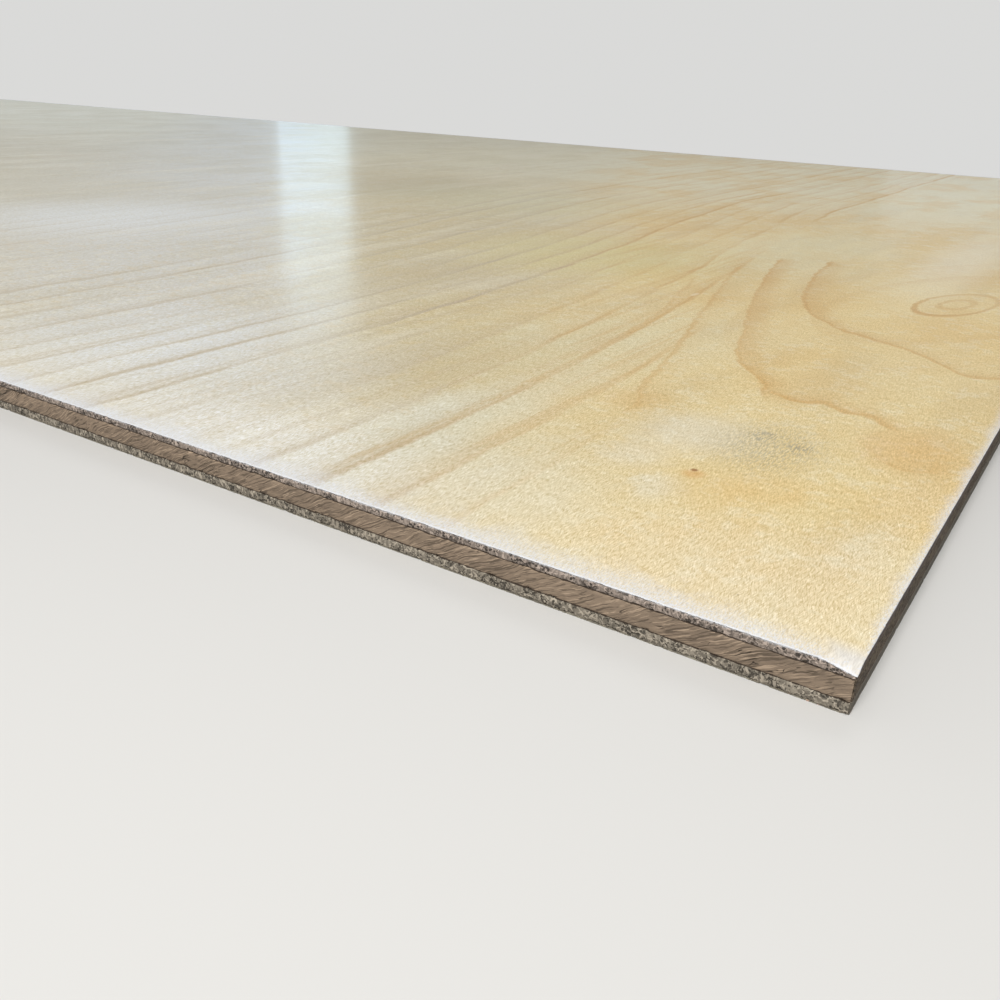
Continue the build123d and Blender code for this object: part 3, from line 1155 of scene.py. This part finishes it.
# Lamps: name, place, target, width, height, power in watts and colour. The key and the fill light the
# near part, and a soft lamp the left side. The strip and the two cards stand far off and low, and show
# mainly as gloss in the satin face.
SOFTBOXES = [
    ("key", (1.28, -1.25, 0.80), (1.12, -0.42, 0.0), 0.45, 0.7, 10.85, (1.0, 0.985, 0.955)),
    ("fill", (1.05, 0.38, 0.90), (1.05, 0.0, 0.0), 0.4, 0.6, 1.9, (1.0, 0.98, 0.95)),
    ("left side", (-0.80, 0.05, 0.75), (-0.80, 0.05, 0.0), 1.2, 1.0, 1.8, (1.0, 0.985, 0.955)),
    ("strip", (-2.133, 2.718, 0.63), (0.9, -0.4, 0.0), 0.33, 0.84, 2.3, (0.60, 0.83, 1.0)),
    ("left card", (-1.595, 1.324, 0.27), (0.9, -0.4, 0.0), 1.00, 0.44, 0.82, (0.68, 0.86, 1.0)),
    ("far card", (0.72, 2.65, 0.24), (1.1, 0.0, 0.0), 0.46, 0.36, 0.20, (0.8, 0.9, 1.0)),
]


def light_path_camera(tree):
    """1 for rays from the camera and for what shows in gloss or glass, 0 for soft light."""
    path = tree.put("ShaderNodeLightPath").outputs
    return tree.highest(path["Is Camera Ray"], path["Is Glossy Ray"], path["Is Transmission Ray"])


def build_floor():
    """A wide pale floor that keeps the sheet's shadow and fades into the backdrop's tone far from it."""
    bm = bmesh.new()
    bmesh.ops.create_grid(bm, x_segments=1, y_segments=1, size=FLOOR_HALF)
    mesh = bpy.data.meshes.new("floor")
    bm.to_mesh(mesh)
    bm.free()
    floor = bpy.data.objects.new("floor", mesh)
    bpy.context.scene.collection.objects.link(floor)
    material = bpy.data.materials.new("Floor")
    material.use_nodes = True
    material.node_tree.nodes.clear()
    tree = Tree(material.node_tree)
    output = tree.put("ShaderNodeOutputMaterial")
    seen = light_path_camera(tree)
    colour = tree.mix(seen, FLOOR_LIGHT, FLOOR_SEEN)
    lit = tree.put("ShaderNodeBsdfDiffuse", {"Color": colour}).outputs[0]
    even = tree.put("ShaderNodeEmission", {"Color": BACKDROP, "Strength": 1.0}).outputs[0]
    here = tree.put("ShaderNodeTexCoord").outputs["Object"]
    x, y, _ = tree.axes(here)
    past_x = tree.highest(tree.less(tree.math("ABSOLUTE", x), HALF_LENGTH * MM), 0.0)
    past_y = tree.highest(tree.less(tree.math("ABSOLUTE", y), HALF_WIDTH * MM), 0.0)
    away = tree.math("SQRT", tree.add(tree.times(past_x, past_x), tree.times(past_y, past_y)))
    from_corner = tree.vector_math("DISTANCE", here, (HALF_LENGTH * MM, -HALF_WIDTH * MM, 0.0))
    # Far from the near corner's lamps and far from the sheet the floor shows the backdrop's even tone
    past_lamps = tree.times(tree.rise(from_corner, 0.45, 1.0), tree.rise(away, 0.0, 0.08, 0.75, 1.0))
    far = tree.times(tree.highest(tree.rise(away, 0.02, 0.75), past_lamps), seen)
    both = tree.put("ShaderNodeMixShader", {0: far, 1: lit, 2: even}).outputs[0]
    tree.feed(output.inputs["Surface"], both)
    mesh.materials.append(material)


def build_world():
    """Soft even light from all round, seen as a pale backdrop."""
    world = bpy.data.worlds.new("Studio")
    bpy.context.scene.world = world
    world.use_nodes = True
    world.node_tree.nodes.clear()
    tree = Tree(world.node_tree)
    output = tree.put("ShaderNodeOutputWorld")
    colour = tree.mix(light_path_camera(tree), WORLD_LIGHT, BACKDROP)
    background = tree.put("ShaderNodeBackground", {"Color": colour, "Strength": 1.0}).outputs[0]
    tree.feed(output.inputs["Surface"], background)


def add_softbox(name, place, target, width, height, power, colour):
    """A rectangular lamp at a place, turned towards its target."""
    lamp = bpy.data.lights.new(name, "AREA")
    lamp.shape = "RECTANGLE"
    lamp.size = width
    lamp.size_y = height
    lamp.energy = power
    lamp.color = colour
    softbox = bpy.data.objects.new(name, lamp)
    bpy.context.scene.collection.objects.link(softbox)
    softbox.location = place
    softbox.rotation_euler = (Vector(target) - Vector(place)).to_track_quat("-Z", "Y").to_euler()
    softbox.visible_camera = False


def build_camera():
    """The camera, at the photograph's viewing angle."""
    data = bpy.data.cameras.new("camera")
    data.sensor_width = SENSOR
    data.lens = CAMERA_LENS
    data.clip_start = NEAR_CLIP
    data.clip_end = FAR_CLIP
    camera = bpy.data.objects.new("camera", data)
    bpy.context.scene.collection.objects.link(camera)
    heading = Matrix.Rotation(math.radians(CAMERA_HEADING), 4, "Z")
    pitch = Matrix.Rotation(math.radians(90.0 - CAMERA_DOWN), 4, "X")
    roll = Matrix.Rotation(math.radians(CAMERA_ROLL), 4, "Z")
    camera.matrix_world = Matrix.Translation(CAMERA_PLACE) @ heading @ pitch @ roll
    bpy.context.scene.camera = camera


class PLYWOOD_OT_stage(bpy.types.Operator):
    """Builds the floor, the lamps, the backdrop and the camera"""
    bl_idname = "plywood.stage"
    bl_label = "Stage"

    def execute(self, context):
        build_floor()
        build_world()
        for softbox in SOFTBOXES:
            add_softbox(*softbox)
        build_camera()
        context.scene.view_settings.view_transform = "Standard"
        return {"FINISHED"}


class PLYWOOD_PT_panel(bpy.types.Panel):
    """Sizes, colours and the steps that build the sheet"""
    bl_label = "Plywood Sheet"
    bl_idname = "PLYWOOD_PT_panel"
    bl_space_type = "VIEW_3D"
    bl_region_type = "UI"
    bl_category = "Plywood"

    def draw(self, context):
        layout = self.layout
        for group in (context.scene.plywood_sheet, context.scene.plywood_colours):
            for name in group.bl_rna.properties.keys():
                if name not in ("rna_type", "name"):
                    layout.prop(group, name)
        for step in STEPS:
            layout.operator(step.bl_idname)


STEPS = (
    PLYWOOD_OT_back_veneer,
    PLYWOOD_OT_lower_ply,
    PLYWOOD_OT_core_ply,
    PLYWOOD_OT_upper_ply,
    PLYWOOD_OT_face_veneer,
    PLYWOOD_OT_stage,
)
CLASSES = (SheetSettings, ColourSettings) + STEPS + (PLYWOOD_PT_panel,)


def register():
    for item in CLASSES:
        bpy.utils.register_class(item)
    bpy.types.Scene.plywood_sheet = bpy.props.PointerProperty(type=SheetSettings)
    bpy.types.Scene.plywood_colours = bpy.props.PointerProperty(type=ColourSettings)


def unregister():
    del bpy.types.Scene.plywood_colours
    del bpy.types.Scene.plywood_sheet
    for item in reversed(CLASSES):
        bpy.utils.unregister_class(item)


def main():
    register()
    bpy.ops.plywood.back_veneer()
    bpy.ops.plywood.lower_ply()
    bpy.ops.plywood.core_ply()
    bpy.ops.plywood.upper_ply()
    bpy.ops.plywood.face_veneer()
    bpy.ops.plywood.stage()


if __name__ == "__main__":
    main()
